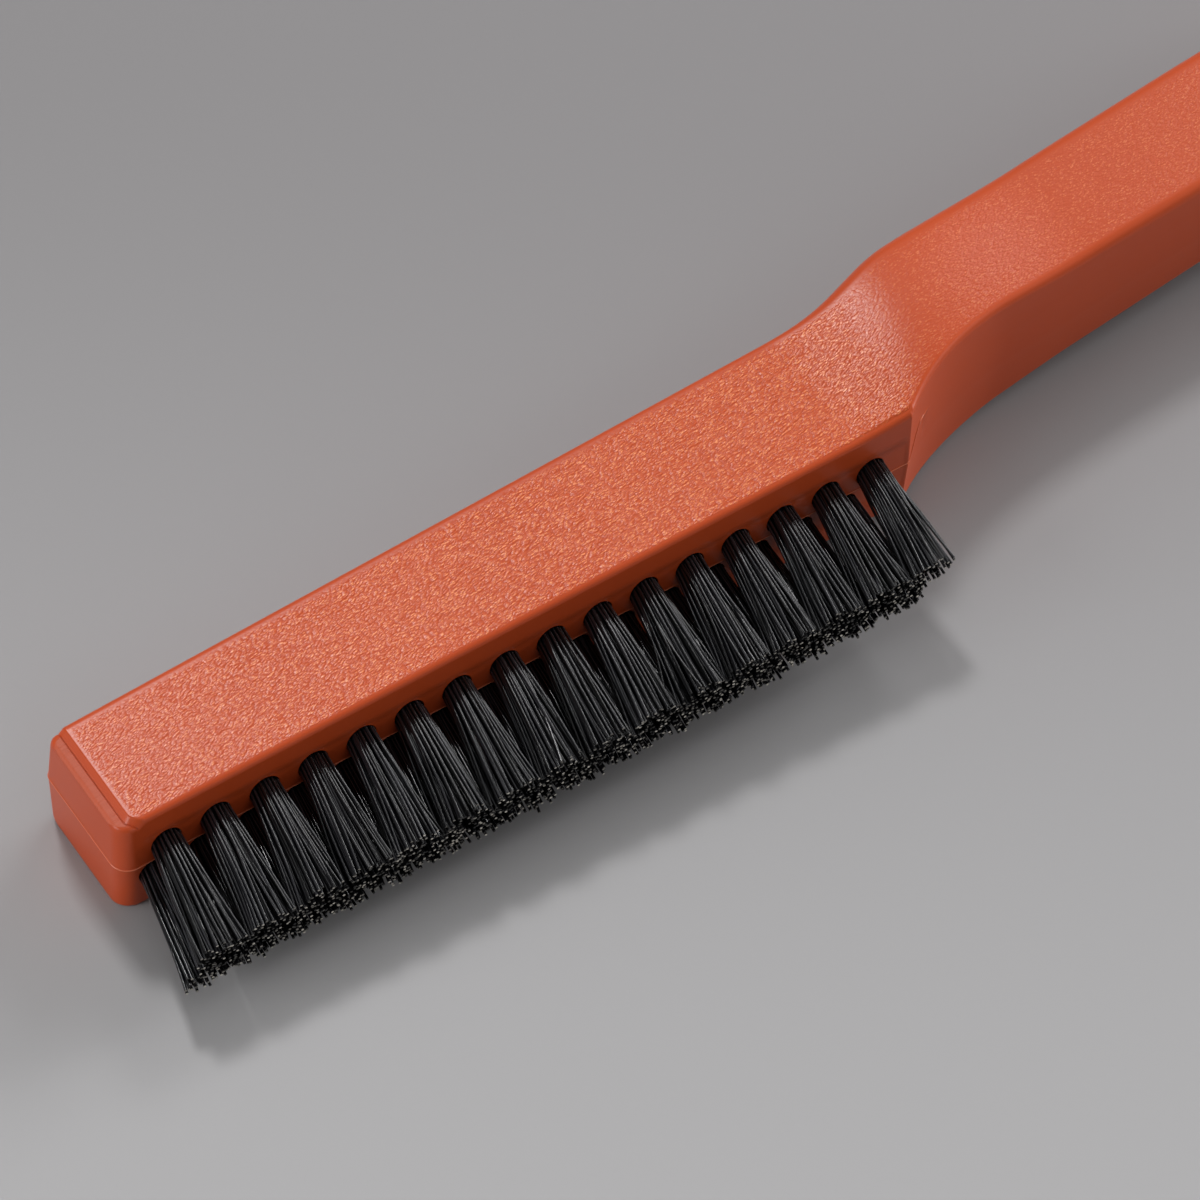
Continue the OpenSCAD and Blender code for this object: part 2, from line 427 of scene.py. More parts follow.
def face_places(start, stop):
    """Places across a broad face, close together near both edges."""
    room = stop - start
    unit = MM * min(1.0, room / crowded_w)
    near = [start + gap * unit for gap in near_gaps]
    far = [stop - gap * unit for gap in far_gaps]
    middle = [near[-1] + (far[0] - near[-1]) * k / middle_steps for k in range(1, middle_steps)]
    return [start] + near + middle + far + [stop]


def face_row(x, near, far_y, near_r, far_r, h, lower):
    """Points (y, z, grain, ticks) across one broad face, from the bristle side to the back."""
    lip_y = near + near_r + lip_in
    grained = smooth((x - ledge_w - lip_l) / grain_start_l)
    grained *= smooth((brush_l - x - grip_edge_r) / grain_end_l)
    grained *= blend(tip_grain, 1.0, x / tip_grain_l)
    grained *= blend(1.0, grip_grain, (x - grip_grain_x) / grip_grain_l)
    ticked = 0.0 if lower else 1 - smooth((x - ticks_stop_x) / ticks_stop_l)
    row = []
    for k in range(corner_steps):
        a = math.pi - math.pi / 2 * k / corner_steps
        y = near + near_r + near_r * math.cos(a)
        row.append((y, h - near_r + near_r * math.sin(a) - face_drop(x, y, lip_y, lower), 0.0, 0.0))
    for y in face_places(near + near_r, far_y):
        mask = smooth((y - lip_y) / grain_near_l + 0.5)
        mask *= smooth((far_y - y + grain_far_in) / grain_far_l)
        row.append((y, h - face_drop(x, y, lip_y, lower), grained * mask, ticked))
    for k in range(1, corner_steps + 1):
        a = math.pi / 2 - math.pi / 2 * k / corner_steps
        y = far_y + far_r * math.cos(a)
        row.append((y, h - far_r + far_r * math.sin(a) - face_drop(x, y, lip_y, lower), 0.0, 0.0))
    return row


def ring(x):
    """Points of one section, round from the top of the bristle side: x, y, z and three masks."""
    near = near_line(x) + quarter_inset(near_corner_r, x) + end_inset(x)
    far = far_line(x) - quarter_inset(far_corner_r, x) - end_inset(x)
    draw = min(draft, draw_share * (far - near))
    h = half_t(x) - quarter_inset(grip_edge_r, brush_l - x)
    h_top = h - quarter_inset(rim_r, x)
    h_low = h - quarter_inset(low_rim_r, x) + low_grow_tip * (1 - smooth(x / low_grow_l))
    near_r = min(near_radius(x), round_share * (far - near))
    far_r = min(far_radius(x), round_share * (far - near))
    far_y = far - draw - far_r
    top = face_row(x, near, far_y, near_r, far_r, h_top, False)
    low = face_row(x, near, far_y, near_r, far_r, h_low, True)
    step = step_h * smooth((x - step_start_x) / step_start_l)
    step *= 1 - smooth((x - step_stop_x) / step_stop_l)
    z_flash = flash_rise * smooth((x - head_l) / flash_rise_l)
    flash = flash_h * (1 - smooth((x - head_l - flash_rise_l) / flash_fade_l))
    far_side = side_points(
        x, far - draw, far, (top[-1][1], low[-1][1]), 1, 0.0, flash_h, 0.0, far_corner_r)
    near_side = side_points(
        x, near, near - draw, (top[0][1], low[0][1]), -1, z_flash, flash, step, near_corner_r)
    points = [(x, y, z, grain, 0.0, ticks) for y, z, grain, ticks in top]
    points += [(px, y, z, 0.0, ridge, 0.0) for px, y, z, ridge in far_side]
    points += [(x, y, -z, grain, 0.0, ticks) for y, z, grain, ticks in reversed(low)]
    points += [(px, y, z, 0.0, ridge, 0.0) for px, y, z, ridge in reversed(near_side)]
    pull = draft * (1 - smooth(x / end_draft_l)) / half_t(x)
    skew = tip_skew * (1 - smooth(x / tip_skew_l))
    middle = tip_depth / 2
    return [(p[0] + pull * max(p[2], -p[2] / 2) + skew * (p[1] - middle),) + p[1:] for p in points]


def stations():
    """Places of the rings along X, close together at the tip's rim, the lips and the neck."""
    tip_steps = (0, 0.03, 0.08, 0.14, 0.22, 0.32, 0.44, 0.58, 0.74, 0.9, 1.04)
    xs = [step * MM for step in tip_steps]
    spans = [
        (1.14 * MM, 2.9 * MM, 0.05 * MM),
        (3.1 * MM, head_l - 1.0 * MM, 0.9 * MM),
        (head_l - 0.8 * MM, head_l - 0.1 * MM, 0.1 * MM),
        (head_l, head_l + 0.6 * MM, 0.06 * MM),
        (head_l + 0.8 * MM, head_l + 5 * MM, 0.25 * MM),
        (head_l + 5.4 * MM, fall_x, 0.6 * MM),
        (fall_x + 1 * MM, end_round_x, 1.2 * MM)]
    for start, stop, gap in spans:
        count = max(1, round((stop - start) / gap))
        xs += [start + (stop - start) * k / count for k in range(count + 1)]
    turns = [end_turn_a * k / end_steps for k in range(1, end_steps + 1)]
    xs += [end_round_x + end_round * math.sin(a) for a in turns]
    xs += [brush_l]
    return xs


rings = [ring(x) for x in stations()]
print("rings:", len(rings), "of", len(rings[0]), "points")

# %% [markdown]
# The rings are joined into one skin. Each end is closed with strips from side to side, because
# one large face there would bend over the parting line and shade wrongly.

# %% Skin of the moulded body
top_points = len(rings[0]) // 2 - levels_on_side


def end_faces(n, first):
    """Closes an end with strips between the levels of its two sides, so it can fold there."""
    side = n // 2 - top_points
    far_edge = [first + top_points - 1 + k for k in range(side + 2)]
    near_edge = [first] + [first + n - 1 - k for k in range(side + 1)]
    strips = [
        [far_edge[k], far_edge[k + 1], near_edge[k + 1], near_edge[k]] for k in range(side + 1)]
    caps = [
        [first + k for k in range(top_points)],
        [first + n // 2 + k for k in range(top_points)]]
    return strips + caps


def mesh_from_rings(name, rings):
    """Joins the rings with four-sided faces, closes both ends and keeps the masks of each point."""
    n = len(rings[0])
    points = [Vector(p[:3]) + origin for r in rings for p in r]
    faces = []
    for s in range(len(rings) - 1):
        for i in range(n):
            a, b = s * n + i, s * n + (i + 1) % n
            faces.append((a, a + n, b + n, b))
    faces += end_faces(n, 0)
    faces += [list(reversed(face)) for face in end_faces(n, (len(rings) - 1) * n)]
    data = bpy.data.meshes.new(name)
    data.from_pydata(points, [], faces)
    for k, label in enumerate(("grain", "parting", "ticks")):
        mask = data.attributes.new(label, "FLOAT", "POINT")
        mask.data.foreach_set("value", [p[3 + k] for r in rings for p in r])
    data.update()
    return data


def add_object(name, data):
    piece = bpy.data.objects.new(name, data)
    bpy.context.scene.collection.objects.link(piece)
    return piece


handle = add_object("moulded_handle", mesh_from_rings("moulded_handle", rings))
print("handle faces before the holes:", len(handle.data.polygons))

# %% [markdown]
# The tuft holes are drilled after moulding on most real brushes, so their edges are crisp.
# They are cut with a boolean, which is quicker and cleaner than bending the loft round them.

# %% Tuft holes and hanging hole
cut_reach = 1.0 * MM
tuft_hole_sides = 48
hang_hole_sides = 64


def tuft_mouth(row, i):
    """Middle of a hole's mouth. Row 0 is the upper one, row 1 the lower one."""
    x = first_in[row] + (last_in[row] - first_in[row]) * i / (tufts_in_row - 1)
    return Vector((x, 0.0, row_z[row])) + origin


down_hole = Vector((math.sin(lean), math.cos(lean), 0.0))


def add_turned(bm, start, along, profile, sides):
    """Adds a closed turned solid: profile holds (distance along the axis, radius)."""
    side = along.orthogonal().normalized()
    other = along.cross(side)
    turns = [2 * math.pi * k / sides for k in range(sides)]
    loops = []
    for distance, radius in profile:
        centre = start + along * distance
        spokes = [(side * math.cos(a) + other * math.sin(a)) * radius for a in turns]
        loops.append([bm.verts.new(centre + spoke) for spoke in spokes])
    for low, high in zip(loops, loops[1:]):
        for k in range(sides):
            bm.faces.new((low[k], low[(k + 1) % sides], high[(k + 1) % sides], high[k]))
    bm.faces.new(list(reversed(loops[0])))
    bm.faces.new(loops[-1])


def add_cutters():
    bm = bmesh.new()
    drill = [(-cut_reach, hole_r), (hole_depth, hole_r)]
    for row in (0, 1):
        for i in range(tufts_in_row):
            add_turned(bm, tuft_mouth(row, i), down_hole, drill, tuft_hole_sides)
    hang_x = brush_l - hang_in
    hang_y = (near_line(hang_x) + far_line(hang_x)) / 2
    half = end_t / 2
    wide = hang_r + hang_chamfer + cut_reach
    profile = [
        (-half - cut_reach, wide), (-half + hang_chamfer, hang_r),
        (half - hang_chamfer, hang_r), (half + cut_reach, wide)]
    middle = Vector((hang_x, hang_y, 0)) + origin
    add_turned(bm, middle, Vector((0, 0, 1)), profile, hang_hole_sides)
    bmesh.ops.recalc_face_normals(bm, faces=bm.faces)
    data = bpy.data.meshes.new("cutters")
    bm.to_mesh(data)
    bm.free()
    return add_object("cutters", data)


def apply_modifiers(piece):
    """Turns what the modifiers make into the piece's own mesh."""
    graph = bpy.context.evaluated_depsgraph_get()
    data = bpy.data.meshes.new_from_object(piece.evaluated_get(graph))
    piece.modifiers.clear()
    piece.data = data


def cut_away(piece, cutters):
    cut = piece.modifiers.new("holes", "BOOLEAN")
    cut.operation = "DIFFERENCE"
    cut.solver = "EXACT"
    cut.object = cutters
    apply_modifiers(piece)
    bpy.data.objects.remove(cutters)


cut_away(handle, add_cutters())
print("handle faces after the holes:", len(handle.data.polygons))

# %% [markdown]
# The rounded edges should shade smoothly and the mouths of the holes stay crisp. A bevel with
# custom normals would also do it, but here the angle between faces tells them apart.

# %% Smooth shading with crisp corners
body_corner_a = 34


def shade(piece, angle):
    """Shades the piece smoothly, apart from edges that turn by more than the angle in degrees."""
    piece.data.polygons.foreach_set("use_smooth", [True] * len(piece.data.polygons))
    piece.data.set_sharp_from_angle(angle=math.radians(angle))


shade(handle, body_corner_a)
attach(handle, "root")
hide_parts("handle")
print("handle box in mm:", [round(d / MM, 2) for d in handle.dimensions])

# %% [markdown]
# Each tuft is a bunch of straight polymer filaments, folded in half round a flat wire and
# driven into its hole. They are packed tight at the mouth and fan out to a flat trimmed end.
# A hair system would be quicker to comb, but real tubes export as a mesh and keep their cut
# ends, which show from this close. Filaments also draw together into small locks, with dark
# gaps between, so each one leans towards the middle of its lock on the way out.

# %% Filament places in a tuft
filament_r = 0.15 * MM
filaments_in_tuft = 66
locks_in_tuft = 13
wall_reach = 1.05 * filament_r
packed_r = hole_r - wall_reach
golden_turn = math.pi * (3 - math.sqrt(5))


def disc_places(count, radius, turn):
    """Evenly filled round places, as in the head of a sunflower."""
    places = []
    for k in range(count):
        r = radius * math.sqrt((k + 0.5) / count)
        a = turn + k * golden_turn
        places.append(Vector((r * math.cos(a), r * math.sin(a))))
    return places


filled = filaments_in_tuft * (filament_r / hole_r) ** 2
print("filaments fill this share of a hole:", round(filled, 2))

# %% [markdown]
# A filament comes straight out of its hole, beside the wire or from the fold over it, and then
# fans out. It bows a little and is drawn towards its lock. The trim is nearly even, and a few
# filaments stray. A curve object could carry each one, but plain lists of points are faster.

# %% Path of one filament
filament_steps = 8

# Half the wire's thickness and half a filament
clear_of_wire = 0.4 * MM

# Where a filament starts, and how far it runs straight inside its hole
root_gap = 0.3 * MM
fold_gap = 0.1 * MM
straight_l = 0.6 * MM

# How much wider the places of the ends are, along X and Z, and the share of that at the mouth
fan = Vector((1.95, 1.05))
early_fan = 0.72

# How far the ends of the upper and the lower row hang down
droop = (-0.95 * MM, -0.1 * MM)
droop_power = 1.5

# How far each end is drawn to the middle of its lock
least_pull = 0.05
most_pull = 0.45
stray_share = 0.05

# What the trim adds to the length, in mm
trim_mean = -0.1
trim_scatter = 0.17
trim_least = -0.4
trim_most = 0.1

# Scatter along X and Z in mm
end_scatter = (0.10, 0.10)
stray_scatter = (0.9, 0.35)
bow_scatter = (0.10, 0.08)
wave_scatter = (0.05, 0.04)


def spread(rng, scatter):
    return Vector((rng.gauss(0, scatter[0] * MM), rng.gauss(0, scatter[1] * MM)))


def filament_path(rng, place, lock, row, i):
    """Points of a filament, from beside its anchor to the trimmed end."""
    mouth = tuft_mouth(row, i)
    free_end = Vector((place.x * fan.x, place.y * fan.y))
    lock_end = Vector((lock.x * fan.x, lock.y * fan.y))
    pull = (lock_end - free_end) * rng.uniform(least_pull, most_pull) + spread(rng, end_scatter)
    if rng.random() < stray_share:
        pull += spread(rng, stray_scatter)
    bow = spread(rng, bow_scatter)
    wave = spread(rng, wave_scatter)
    trim = rng.gauss(trim_mean, trim_scatter)
    length = trim_l + max(trim_least, min(trim_most, trim)) * MM
    beside = abs(place.y) > clear_of_wire
    root = hole_depth - root_gap if beside else anchor_top - fold_gap
    inside = Vector((place.x, 0, place.y))
    points = [mouth + down_hole * root + inside, mouth + down_hole * straight_l + inside]
    for s in range(1, filament_steps + 1):
        u = s / filament_steps
        at = place + (free_end - place) * u * (early_fan + (1 - early_fan) * u) + pull * u * u
        at += bow * math.sin(math.pi * u) + wave * math.sin(2 * math.pi * u)
        x = at.x - length * u * math.tan(lean)
        points.append(mouth + Vector((x, -length * u, at.y + droop[row] * u ** droop_power)))
    return points


print("free length of a filament in mm:", round(trim_l / MM / math.cos(lean), 2))

# %% [markdown]
# The tufts are told apart by their row and number, and each has its own seed, so that no two
# are alike and a new run gives the same brush. Every filament also gets one random tone, which
# its materials turn into a slightly different black.

# %% Tufts
row_seed = 1000
filament_sides = 6
filament_corner_a = 80
place_scatter = (0.03, 0.03)
largest_turn = 6.0


def add_tube(points, faces, path):
    """Adds a closed tube along the path, its cut end last."""
    first = len(points)
    turns = [2 * math.pi * j / filament_sides for j in range(filament_sides)]
    for k, point in enumerate(path):
        along = (path[min(k + 1, len(path) - 1)] - path[max(k - 1, 0)]).normalized()
        side = along.cross(Vector((0, 0, 1))).normalized()
        other = along.cross(side)
        points += [point + (side * math.cos(a) + other * math.sin(a)) * filament_r for a in turns]
    for k in range(len(path) - 1):
        low = first + k * filament_sides
        for j in range(filament_sides):
            nxt = (j + 1) % filament_sides
            faces.append((low + j, low + nxt, low + nxt + filament_sides, low + j + filament_sides))
    faces.append([first + filament_sides - 1 - j for j in range(filament_sides)])
    last = first + (len(path) - 1) * filament_sides
    faces.append([last + j for j in range(filament_sides)])


def add_tuft(row, i):
    rng = random.Random(row_seed * row + i)
    packed = disc_places(filaments_in_tuft, packed_r, rng.random())
    places = [place + spread(rng, place_scatter) for place in packed]
    locks = disc_places(locks_in_tuft, packed_r, rng.uniform(0, largest_turn))
    points, faces, cut_ends, tones = [], [], [], []
    for place in places:
        lock = min(locks, key=lambda middle: (middle - place).length)
        add_tube(points, faces, filament_path(rng, place, lock, row, i))
        cut_ends += [0] * (len(faces) - len(cut_ends) - 1) + [1]
        tones += [rng.random()] * (len(points) - len(tones))
    name = ("upper", "lower")[row] + "_tuft_%02d" % (i + 1)
    data = bpy.data.meshes.new(name)
    data.from_pydata(points, [], faces)
    data.polygons.foreach_set("material_index", cut_ends)
    data.attributes.new("tone", "FLOAT", "POINT").data.foreach_set("value", tones)
    data.update()
    piece = add_object(name, data)
    shade(piece, filament_corner_a)
    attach(piece, "root")
    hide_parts("tuft_" + ("upper", "lower")[row] + "_%02d" % (i + 1))
    return piece


tufts = [add_tuft(row, i) for row in (0, 1) for i in range(tufts_in_row)]
print("tufts:", len(tufts), "faces in each:", len(tufts[0].data.polygons))

# %% [markdown]
# The materials are built from a few small helpers, so that each one reads as a short recipe.

# %% Shader helpers


def new_material(name):
    material = bpy.data.materials.new(name)
    material.use_nodes = True
    return material, material.node_tree, material.node_tree.nodes["Principled BSDF"]


def new_group(name, inputs, outputs):
    tree = bpy.data.node_groups.new(name, "ShaderNodeTree")
    for label, kind, value in inputs:
        socket = tree.interface.new_socket(name=label, in_out="INPUT", socket_type=kind)
        if value is not None:
            socket.default_value = value
    for label, kind in outputs:
        tree.interface.new_socket(name=label, in_out="OUTPUT", socket_type=kind)
    return tree, tree.nodes.new("NodeGroupInput"), tree.nodes.new("NodeGroupOutput")


def add_node(tree, kind, inputs=(), **settings):
    """Adds a node. Each input is a number or colour to set, or an output to link."""
    node = tree.nodes.new(kind)
    for key, value in settings.items():
        setattr(node, key, value)
    for key, value in dict(inputs).items():
        if isinstance(value, bpy.types.NodeSocket):
            tree.links.new(value, node.inputs[key])
        else:
            node.inputs[key].default_value = value
    return node


def math_node(tree, operation, a, b):
    return add_node(tree, "ShaderNodeMath", {0: a, 1: b}, operation=operation).outputs[0]


def times(tree, a, b):
    return math_node(tree, "MULTIPLY", a, b)


def plus(tree, a, b):
    return math_node(tree, "ADD", a, b)


def minus(tree, a, b):
    return math_node(tree, "SUBTRACT", a, b)


def vector_node(tree, operation, a, b):
    return add_node(tree, "ShaderNodeVectorMath", {0: a, 1: b}, operation=operation)


def scale_vector(tree, vector, size):
    inputs = {0: vector, "Scale": size}
    return add_node(tree, "ShaderNodeVectorMath", inputs, operation="SCALE").outputs[0]


print("shader helpers ready")

# %% Shader helpers for textures and colours


def object_place(tree):
    return add_node(tree, "ShaderNodeTexCoord").outputs["Object"]


def point_mask(tree, label):
    return add_node(tree, "ShaderNodeAttribute", attribute_name=label).outputs["Fac"]


def noise(tree, place, scale, detail):
    """The outputs of a noise texture: Fac and Color."""
    inputs = {"Vector": place, "Scale": scale, "Detail": detail}
    return add_node(tree, "ShaderNodeTexNoise", inputs).outputs


def ramp(tree, value, low, high, kind="LINEAR"):
    """0 up to low and 1 from high on."""
    inputs = {"Value": value, "From Min": low, "From Max": high}
    return add_node(tree, "ShaderNodeMapRange", inputs, interpolation_type=kind).outputs["Result"]


def mix_colours(tree, factor, a, b):
    inputs = {"Factor": factor, "A": a, "B": b}
    return add_node(tree, "ShaderNodeMix", inputs, data_type="RGBA").outputs["Result"]


def srgb(r, g, b):
    def one(v):
        v /= 255
        return v / 12.92 if v <= 0.04045 else ((v + 0.055) / 1.055) ** 2.4
    return (one(r), one(g), one(b), 1.0)


print("terracotta as light:", [round(v, 3) for v in srgb(200, 84, 54)])

# %% [markdown]
# Mould grain is etched into the steel of the mould, and every grained face of the brush shows
# it. It is a field of small pebbles, longer than they are wide and not all of one height. Their
# crests, in patches, also give the mask for a painted glint in the colour. A displaced mesh would
# need millions of faces, so this fine texture is bump.

# %% Mould grain
grain_cells = 5800.0
grain_stretch = 0.4
grain_turn = 0.22
wander_scale = 0.45
wander_reach = 0.9
uneven_scale = 0.9
uneven_share = 0.6
least_pebble = 0.7
glint_from = 0.8
glint_to = 0.95
patch_scale = 0.55
patch_from = 0.38
patch_to = 0.62


def grain_place(tree, start):
    """Coordinates counted in pebbles, turned, stretched and made to wander."""
    angle = times(tree, start["Turn"], -1.0)
    inputs = {"Vector": start["Coordinates"], "Angle": angle}
    turned = add_node(tree, "ShaderNodeVectorRotate", inputs, rotation_type="Z_AXIS")
    stretch = add_node(tree, "ShaderNodeCombineXYZ", {"X": start["Stretch"], "Y": 1.0, "Z": 1.0})
    shaped = vector_node(tree, "MULTIPLY", turned.outputs[0], stretch.outputs[0]).outputs[0]
    counted = scale_vector(tree, shaped, start["Cells per metre"])
    wander = scale_vector(tree, noise(tree, counted, wander_scale, 2.0)["Color"], wander_reach)
    return vector_node(tree, "ADD", counted, wander).outputs[0]


def make_grain_group():
    tree, start, end = new_group(
        "mould_grain",
        [("Coordinates", "NodeSocketVector", None),
         ("Cells per metre", "NodeSocketFloat", grain_cells),
         ("Stretch", "NodeSocketFloat", grain_stretch),
         ("Turn", "NodeSocketFloat", grain_turn)],
        [("Height", "NodeSocketFloat"), ("Crest", "NodeSocketFloat")])
    place = grain_place(tree, start.outputs)
    cells = add_node(tree, "ShaderNodeTexVoronoi", {"Vector": place, "Scale": 1.0}, feature="F1")
    from_middle = cells.outputs["Distance"]
    dome = minus(tree, 1.0, times(tree, from_middle, from_middle))
    uneven = times(tree, noise(tree, place, uneven_scale, 2.0)["Fac"], uneven_share)
    height = times(tree, dome, plus(tree, uneven, least_pebble))
    tree.links.new(height, end.inputs["Height"])
    # The crests of the pebbles, in patches, are the mask for a painted glint in the colour.
    painted_glint = ramp(tree, dome, glint_from, glint_to, "SMOOTHSTEP")
    patches = ramp(tree, noise(tree, place, patch_scale, 1.0)["Fac"], patch_from, patch_to)
    tree.links.new(times(tree, painted_glint, patches), end.inputs["Crest"])
    return tree


mould_grain = make_grain_group()
print("group:", mould_grain.name)

# %% [markdown]
# The plastic is one colour all through, a terracotta orange. What changes over it is the
# surface: grained on the broad faces, satin on the sides and scored on the ledge. Light is also
# painted into its colour: painted shade deepens the valleys of the grain, a painted glint lightens
# the crests, a painted highlight runs along the parting line, and a painted sheen makes the scored
# ledge greyer. One flat colour would lose all of that.

# %% Surface of the terracotta plastic
bump_h = 0.05 * MM
satin_scale = 900.0
satin_share = 0.03
tick_scale = (400.0, 5000.0, 0.0)
tick_share = 1.2


def plastic_normals(tree, place, relief, ticks):
    satin = times(tree, noise(tree, place, satin_scale, 2.0)["Fac"], satin_share)
    across = vector_node(tree, "MULTIPLY", place, tick_scale).outputs[0]
    scored = times(tree, noise(tree, across, 1.0, 1.0)["Fac"], ticks)
    fine = plus(tree, times(tree, scored, tick_share), satin)
    inputs = {"Strength": 1.0, "Distance": bump_h, "Height": plus(tree, relief, fine)}
    return add_node(tree, "ShaderNodeBump", inputs).outputs["Normal"]


print("bump height in mm:", round(bump_h / MM, 3))

# %% Colour of the terracotta plastic
cloud_scale = 90.0
# The deep tone is the sides' own colour, and it is also painted shade in the valleys of the grain.
side_and_shaded_valley_tones = (srgb(184, 70, 30), srgb(189, 75, 34))
pebble_tones = (srgb(199, 86, 43), srgb(204, 91, 47))
# Painted glint: a pale tone on the crests of the grain, standing in for light caught there.
painted_glint_tone = srgb(244, 158, 108)
painted_glint_share = 0.8
# Painted sheen: a paler, greyer tone on the scored ledge.
ledge_sheen_tone = srgb(186, 92, 66)
ledge_sheen_share = 0.6
# Painted highlight: a pale tone along the parting ridge.
parting_highlight_tone = srgb(236, 150, 116)
parting_highlight_share = 0.6


def plastic_colour(tree, place, relief, painted_glint, grained, parting, ticks):
    cloud = noise(tree, place, cloud_scale, 3.0)["Fac"]
    deep = mix_colours(tree, cloud, *side_and_shaded_valley_tones)
    high = mix_colours(tree, cloud, *pebble_tones)
    # Painted shade: the low points of the grain take the deep tone, the tops of the pebbles the
    # high one.
    raised = times(tree, minus(tree, relief, 0.5), 2.0)
    ungrained = minus(tree, 0.5, times(tree, grained, 0.5))
    factor = add_node(tree, "ShaderNodeClamp", {"Value": plus(tree, raised, ungrained)}).outputs[0]
    body = mix_colours(tree, factor, deep, high)
    # Painted glint on the crests of the grained faces.
    shine = times(tree, times(tree, painted_glint, grained), painted_glint_share)
    body = mix_colours(tree, shine, body, painted_glint_tone)
    # Painted sheen on the scored ledge.
    body = mix_colours(tree, times(tree, ticks, ledge_sheen_share), body, ledge_sheen_tone)
    # Painted highlight along the parting ridge.
    return mix_colours(tree, times(tree, parting, parting_highlight_share), body, parting_highlight_tone)


print("tones of the pebbles:", [[round(v, 3) for v in tone[:3]] for tone in pebble_tones])

# %% Terracotta plastic
plastic_roughness = 0.33
scored_dulls = 0.2
grain_smooths = 0.05
plastic_specular = 0.36


def make_plastic():
    material, tree, shader = new_material("terracotta_plastic")
    place = object_place(tree)
    grained, parting, ticks = (point_mask(tree, label) for label in ("grain", "parting", "ticks"))
    grain = add_node(tree, "ShaderNodeGroup", node_tree=mould_grain)
    tree.links.new(place, grain.inputs["Coordinates"])
    relief = times(tree, grain.outputs["Height"], grained)
    tree.links.new(plastic_normals(tree, place, relief, ticks), shader.inputs["Normal"])
    colour = plastic_colour(tree, place, relief, grain.outputs["Crest"], grained, parting, ticks)
    tree.links.new(colour, shader.inputs["Base Color"])
    change = minus(tree, times(tree, ticks, scored_dulls), times(tree, grained, grain_smooths))
    tree.links.new(plus(tree, change, plastic_roughness), shader.inputs["Roughness"])
    shader.inputs["Specular IOR Level"].default_value = plastic_specular
    return material


plastic = make_plastic()
handle.data.materials.clear()
handle.data.materials.append(plastic)
print("material:", plastic.name)

# %% [markdown]
# The filaments are black nylon with a satin skin, which shows as a thin line of light along
# each one. Their cut ends are duller, and each takes a painted glint to its own degree, a pale
# colour standing in for light caught on the cut face, so that here and there one stands out. A
# mask by height could find the ends, but their own faces are exact.

# %% Black filament
darkest_filament = srgb(7, 7, 8)
palest_filament = srgb(26, 26, 30)
filament_roughness = 0.17
filament_dulls = 0.1
filament_specular = 0.6
dark_end = srgb(16, 16, 16)
# Painted glint: a pale colour on some cut ends, standing in for light caught on the cut face.
painted_glint_end = srgb(226, 220, 208)
painted_glint_end_power = 3.2
end_roughness = 0.55


def make_filament():
    material, tree, shader = new_material("black_filament")
    tone = point_mask(tree, "tone")
    colour = mix_colours(tree, tone, darkest_filament, palest_filament)
    tree.links.new(colour, shader.inputs["Base Color"])
    rough = plus(tree, times(tree, tone, filament_dulls), filament_roughness)
    tree.links.new(rough, shader.inputs["Roughness"])
    shader.inputs["Specular IOR Level"].default_value = filament_specular
    return material


def make_cut_end():
    material, tree, shader = new_material("cut_filament_end")
    # Painted glint, strongest on the few ends whose tone is highest.
    painted_glint = math_node(tree, "POWER", point_mask(tree, "tone"), painted_glint_end_power)
    colour = mix_colours(tree, painted_glint, dark_end, painted_glint_end)
    tree.links.new(colour, shader.inputs["Base Color"])
    shader.inputs["Roughness"].default_value = end_roughness
    return material


filament = make_filament()
cut_end = make_cut_end()
for tuft in tufts:
    tuft.data.materials.append(filament)
    tuft.data.materials.append(cut_end)
print("materials:", filament.name, cut_end.name)

# %% [markdown]
# The anchors are cut from flat brass-plated wire. They are inside the head, each in the fold
# of its tuft, so the model's own solids stay and only get their finish.

# %% Anchor wire
drawn_scale = 900.0
wire_tones = (srgb(196, 170, 104), srgb(214, 190, 128))
wire_roughness = 0.3


def make_anchor_wire():
    material, tree, shader = new_material("anchor_wire")
    drawn = noise(tree, object_place(tree), drawn_scale, 2.0)["Fac"]
    tree.links.new(mix_colours(tree, drawn, *wire_tones), shader.inputs["Base Color"])
    shader.inputs["Metallic"].default_value = 1.0
    shader.inputs["Roughness"].default_value = wire_roughness
    return material


anchor_wire = make_anchor_wire()
for name in ("anchors_upper", "anchors_lower"):
    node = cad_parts[name]
    node.data.materials.clear()
    node.data.materials.append(anchor_wire)
print("material:", anchor_wire.name)

# %% [markdown]
# The floor is a plain grey with painted light: its colour grows lighter towards the viewer,
# standing in for light falling off across it. A lamp could do that, but the painted gradient leaves
# the brush evenly lit.

# %% Floor material
front_way = (-0.57, -0.82, 0.0)
front_from = -0.06
front_to = 0.12
# Painted light: the floor's colour runs from a darker tone at the back to a lighter one at the
# front.
floor_tone_in_painted_shade = srgb(136, 134, 135)
floor_tone_in_painted_light = srgb(171, 170, 171)
floor_roughness = 0.85
floor_specular = 0.2


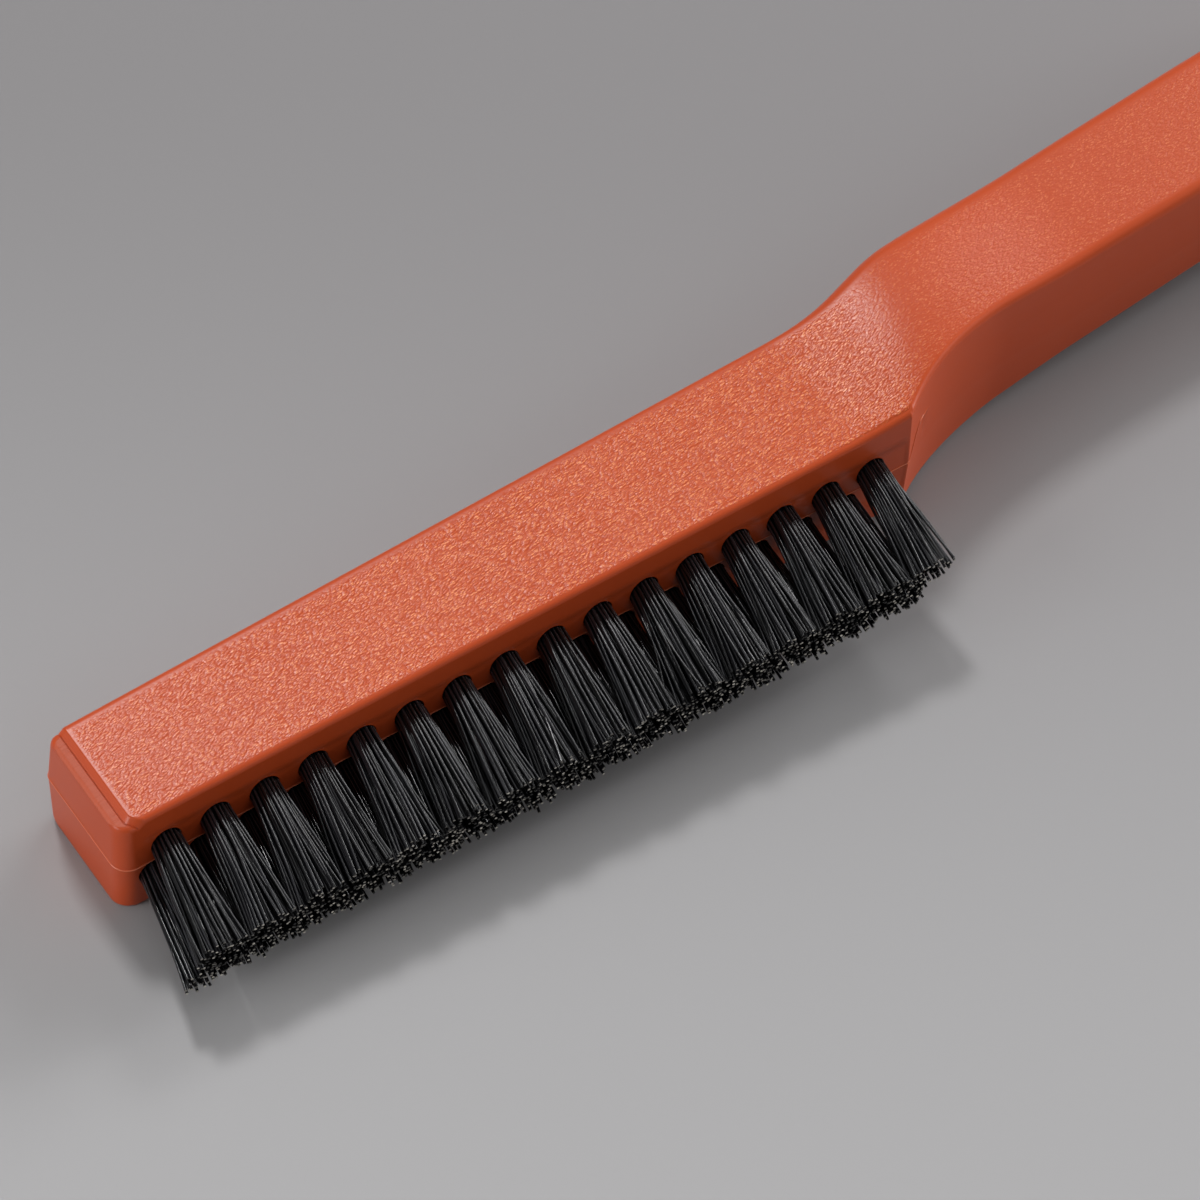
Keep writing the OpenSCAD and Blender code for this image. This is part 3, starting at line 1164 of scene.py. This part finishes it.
def make_floor_material():
    material, tree, shader = new_material("pale_floor")
    forward = vector_node(tree, "DOT_PRODUCT", object_place(tree), front_way).outputs["Value"]
    front = ramp(tree, forward, front_from, front_to, "SMOOTHSTEP")
    colour = mix_colours(tree, front, floor_tone_in_painted_shade, floor_tone_in_painted_light)
    tree.links.new(colour, shader.inputs["Base Color"])
    shader.inputs["Roughness"].default_value = floor_roughness
    shader.inputs["Specular IOR Level"].default_value = floor_specular
    return material


floor.data.materials.append(make_floor_material())
print("floor material:", floor.data.materials[0].name)

# %% [markdown]
# The photograph has soft light from above and behind, a little from both ends, and very
# little from the bristle side, which leaves that face dark. One key light mirrors in the rise
# of the shoulder, and five weaker soft boxes and a dim surround fill the rest.

# %% Lights
light_aim = origin + Vector((head_l, 10 * MM, 0))
surround_strength = 0.15


def add_softbox(name, towards, distance, size, power):
    """A light of size (along the brush, across it), facing the neck from the given direction."""
    data = bpy.data.lights.new(name, "AREA")
    data.shape = "RECTANGLE"
    data.size, data.size_y = size
    data.energy = power
    light = bpy.data.objects.new(name, data)
    way = Vector(towards).normalized()
    light.location = light_aim + way * distance
    light.rotation_euler = way.to_track_quat("Z", "Y").to_euler()
    bpy.context.scene.collection.objects.link(light)
    return light


def set_surround(strength):
    world = bpy.data.worlds.new("surround")
    world.use_nodes = True
    background = world.node_tree.nodes["Background"]
    background.inputs["Color"].default_value = (1, 1, 1, 1)
    background.inputs["Strength"].default_value = strength
    bpy.context.scene.world = world


add_softbox("key_light", (0.13, 0.58, 0.8), 2.4, (0.36, 0.4), 26.0)
add_softbox("top_light", (-0.15, 0.0, 1.0), 2.0, (1.2, 1.2), 3.0)
add_softbox("back_light", (0.72, 0.4, 0.58), 2.4, (0.7, 0.5), 10.5)
add_softbox("tip_light", (-1.0, 0.1, 0.35), 0.9, (0.5, 0.5), 4.2)
add_softbox("end_light", (1.0, -0.04, 0.2), 1.0, (0.5, 0.5), 12.0)
add_softbox("fill_light", (-0.1, -1.0, 0.6), 1.0, (0.6, 0.6), 0.8)
set_surround(surround_strength)
bpy.context.scene.view_settings.view_transform = "Standard"
